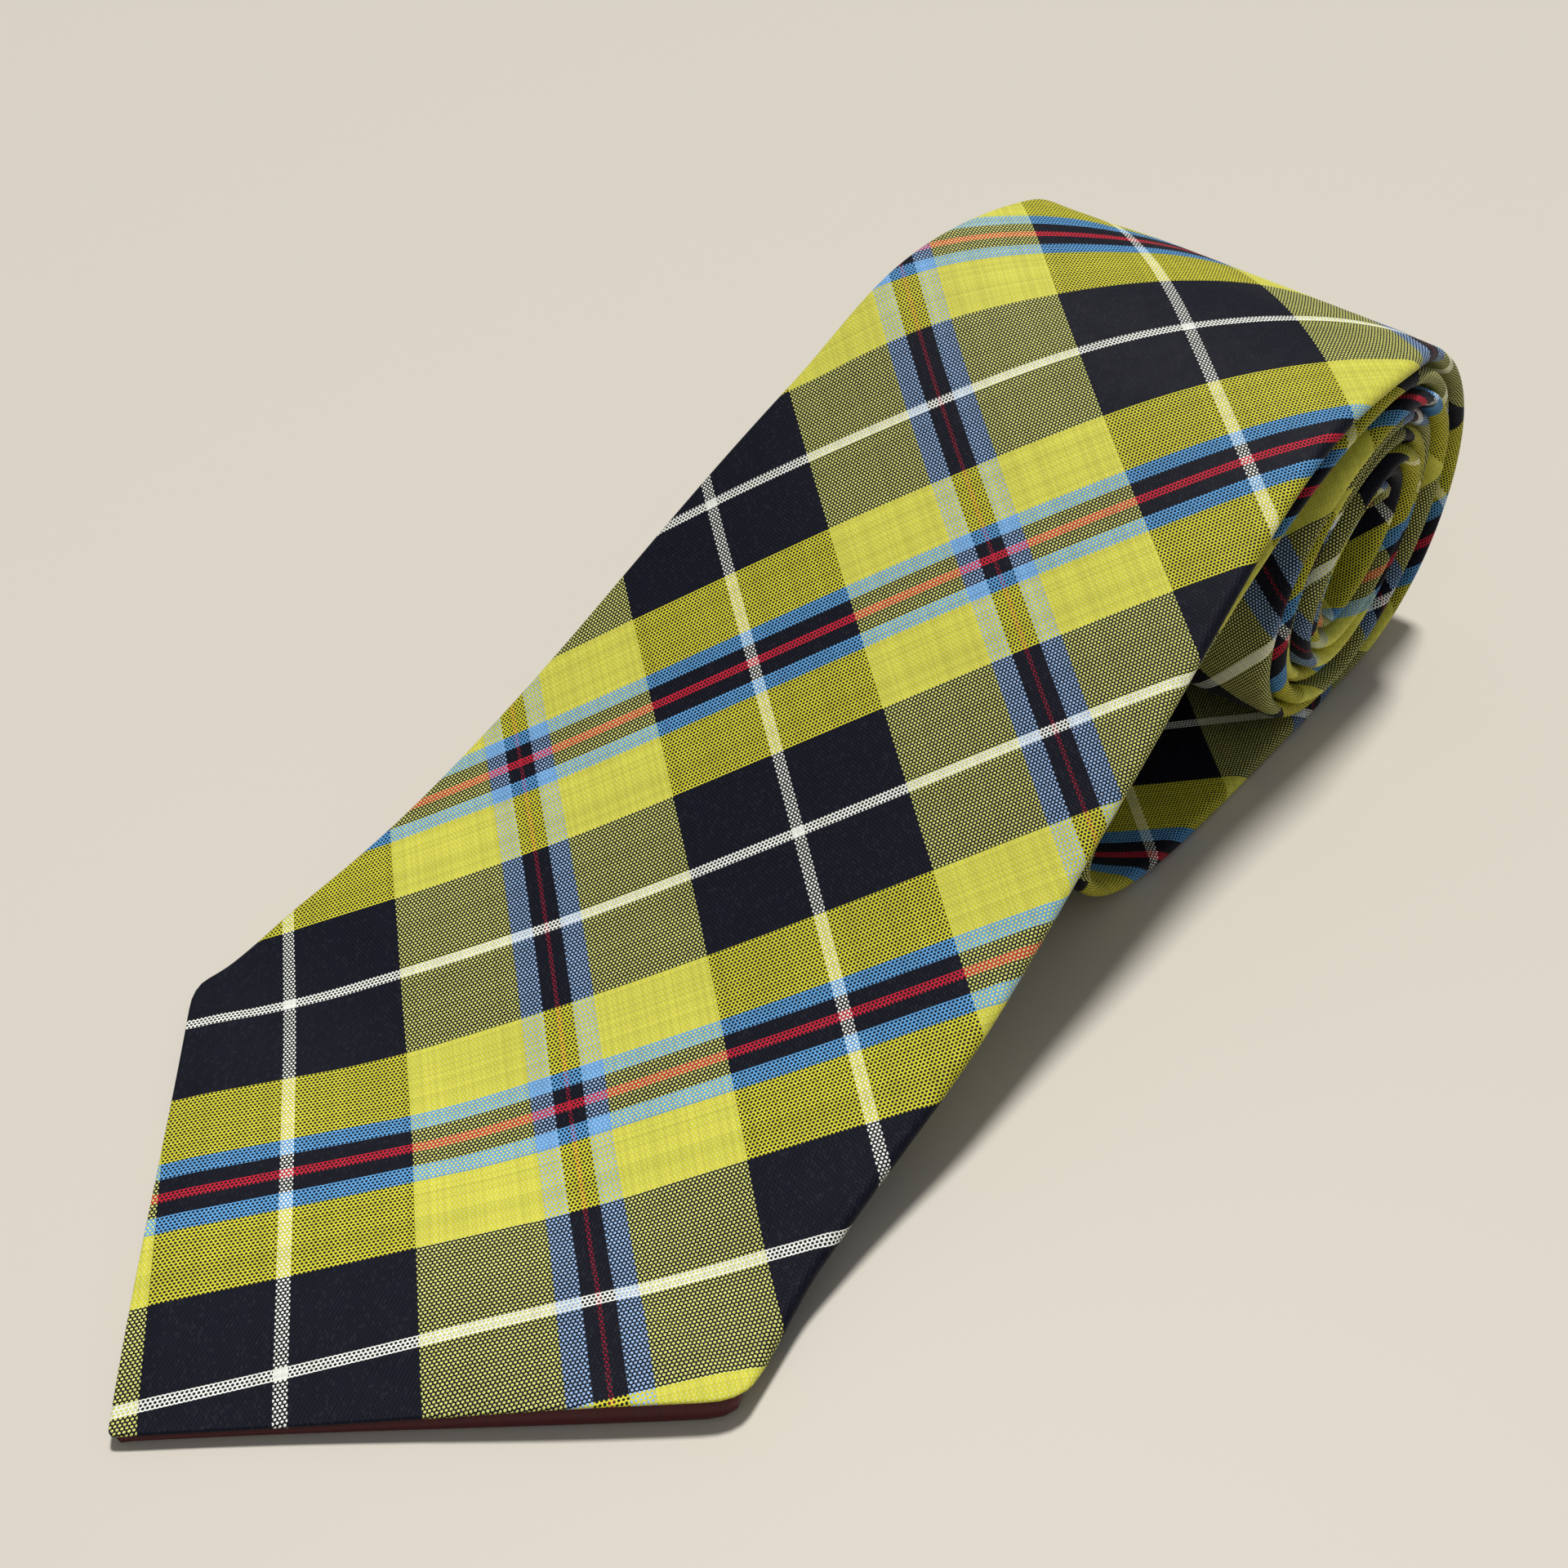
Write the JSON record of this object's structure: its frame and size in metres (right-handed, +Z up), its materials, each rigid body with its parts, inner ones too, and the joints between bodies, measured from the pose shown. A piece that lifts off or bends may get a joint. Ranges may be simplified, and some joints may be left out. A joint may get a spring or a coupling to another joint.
{
  "type": "necktie",
  "caption": "Rolled necktie in woven check cloth: the wide front blade drapes from a loose roll down to its pointed, lined tip.",
  "frame": {"origin": "middle of the bounding box, on the surface that the tie lies on", "axes": "+X across the tie towards the right edge seen from above with the tip near, +Y from the tip to the roll, +Z up"},
  "size_m": [0.095, 0.2298, 0.0617],
  "materials": {
    "plaid_cloth": "satin twill, woven check",
    "tipping": "satin lining",
    "interlining": "brushed wool",
    "thread": "spun thread",
    "label": "woven satin label, blank",
    "care_tab": "printed satin tab, blank"
  },
  "bodies": {
    "root": {"roll_blade_shell": "plaid_cloth", "front_neck_seam": "thread", "neck_shell": "plaid_cloth", "neck_tail_seam": "thread", "tail_outer_shell": "plaid_cloth", "tail_inner_shell": "plaid_cloth", "tail_point": "plaid_cloth", "front_interlining": "interlining", "tail_interlining": "interlining", "tail_tipping": "tipping", "roll_slip_stitch": "thread"},
    "blade": {"blade_shell": "plaid_cloth", "blade_tipping": "tipping", "blade_interlining": "interlining", "blade_slip_stitch": "thread", "front_bar_tack": "thread", "keeper_loop": "plaid_cloth", "blank_label": "label", "care_tab": "care_tab"},
    "tip": {"tip_shell": "plaid_cloth", "tip_tipping": "tipping", "tip_interlining": "interlining"}
  },
  "joints": [
    {"name": "blade_lift", "type": "hinge", "parent": "root", "child": "blade", "pos_m": [0, 0.04813, 0.05513], "axis": [-1, 0, 0], "range_deg": [0, 110]},
    {"name": "tip_fold", "type": "hinge", "parent": "blade", "child": "tip", "pos_m": [0, -0.06745, 0.0025], "axis": [-1, 0, 0], "range_deg": [0, 120]}
  ]
}
